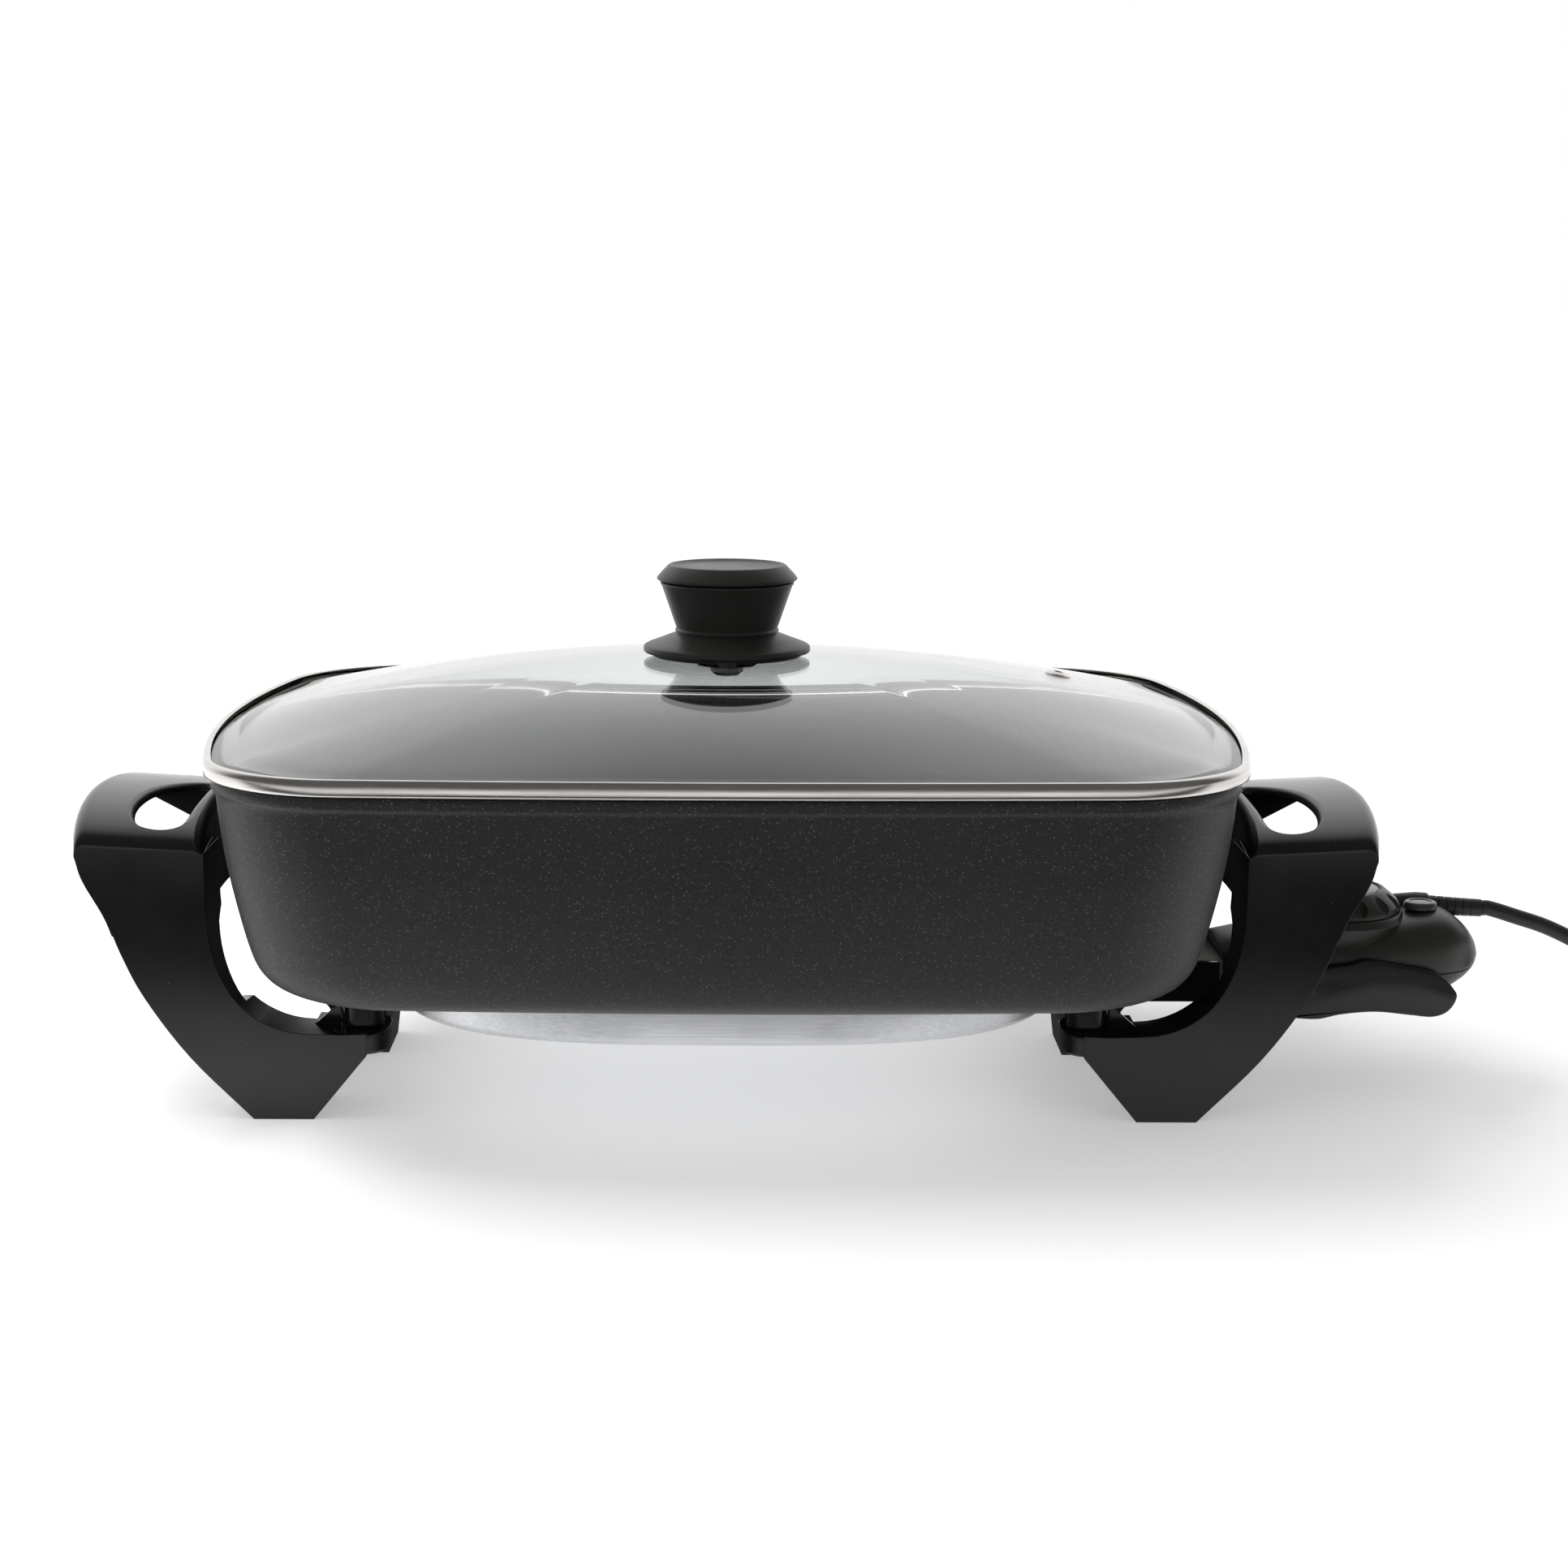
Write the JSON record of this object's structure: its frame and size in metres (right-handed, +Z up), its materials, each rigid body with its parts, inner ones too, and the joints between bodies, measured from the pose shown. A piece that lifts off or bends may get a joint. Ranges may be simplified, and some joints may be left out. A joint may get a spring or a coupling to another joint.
{
  "type": "electric skillet",
  "caption": "Deep rectangular electric skillet with lift-off domed glass lid, leg-and-handle brackets, cast heating base and a plug-in thermostat controller with cord.",
  "frame": {"origin": "on the floor under the middle of the object's bounding box, cord and plug left out", "axes": "+X to the right, towards the controller; +Y to the back; +Z up"},
  "size_m": [0.7437, 0.3046, 0.2118],
  "materials": {
    "nonstick": "satin dark grey non-stick coat with fine pale flecks",
    "cast_aluminium": "machined, fine turning marks",
    "gloss_phenolic": "glossy black moulding",
    "matte_phenolic": "fine matt black moulding",
    "tempered_glass": "clear, faint green",
    "steel": "polished stainless",
    "brass": "plain",
    "ceramic": "unglazed",
    "cord_rubber": "matt",
    "silicone": "matt",
    "pale_plastic": "satin",
    "lamp_lens": "smoked, clear",
    "neon_glass": "clear"
  },
  "bodies": {
    "base": {"pan": "nonstick", "heat_plate": "cast_aluminium", "heating_element": "steel", "terminal_pin_front": "steel", "terminal_pin_rear": "steel", "pin_insulator_front": "ceramic", "pin_insulator_rear": "ceramic", "thermowell": "steel", "terminal_guard": "gloss_phenolic", "guard_screw_front": "steel", "guard_screw_rear": "steel", "left_bracket": "gloss_phenolic", "right_bracket": "gloss_phenolic", "post_left_front": "gloss_phenolic", "post_left_rear": "gloss_phenolic", "post_right_front": "gloss_phenolic", "post_right_rear": "gloss_phenolic", "post_screw_left_front": "steel", "post_screw_left_rear": "steel", "post_screw_right_front": "steel", "post_screw_right_rear": "steel"},
    "lid": {"lid_glass": "tempered_glass", "lid_rim": "steel", "vent_eyelet": "steel", "knob_seal": "silicone", "knob_body": "matte_phenolic", "knob_cap": "matte_phenolic", "knob_insert": "brass", "knob_washer": "silicone", "knob_screw": "steel"},
    "controller": {"controller_top": "matte_phenolic", "controller_base": "matte_phenolic", "housing_screw_front": "steel", "housing_screw_rear": "steel", "finger_grip": "gloss_phenolic", "contact_block": "ceramic", "contact_sleeve_front": "brass", "contact_sleeve_rear": "brass", "probe_rod": "steel", "probe_collar": "steel", "thermostat_frame": "steel", "thermostat_blade_lower": "brass", "thermostat_blade_upper": "brass", "blade_stack": "ceramic", "lamp_lens": "lamp_lens", "neon_lamp": "neon_glass", "lead_wire_front": "cord_rubber", "lead_wire_rear": "cord_rubber", "cord_clamp": "steel", "strain_relief": "cord_rubber", "cord": "cord_rubber", "cord_coil": "cord_rubber", "cord_tail": "cord_rubber", "coil_tie": "silicone", "plug_body": "cord_rubber", "plug_blade_front": "brass", "plug_blade_rear": "brass"},
    "dial": {"dial": "matte_phenolic", "dial_insert": "pale_plastic", "dial_shaft": "brass"}
  },
  "joints": [
    {"name": "lid_lift", "type": "slide", "parent": "base", "child": "lid", "axis": [0, 0, 1], "range_m": [0, 0.12]},
    {"name": "controller_pull", "type": "slide", "parent": "base", "child": "controller", "axis": [1, 0, 0], "range_m": [0, 0.11]},
    {"name": "dial_turn", "type": "hinge", "parent": "controller", "child": "dial", "pos_m": [0.22365, 0, 0.0722], "axis": [0, 0, -1], "range_deg": [0, 300]}
  ]
}
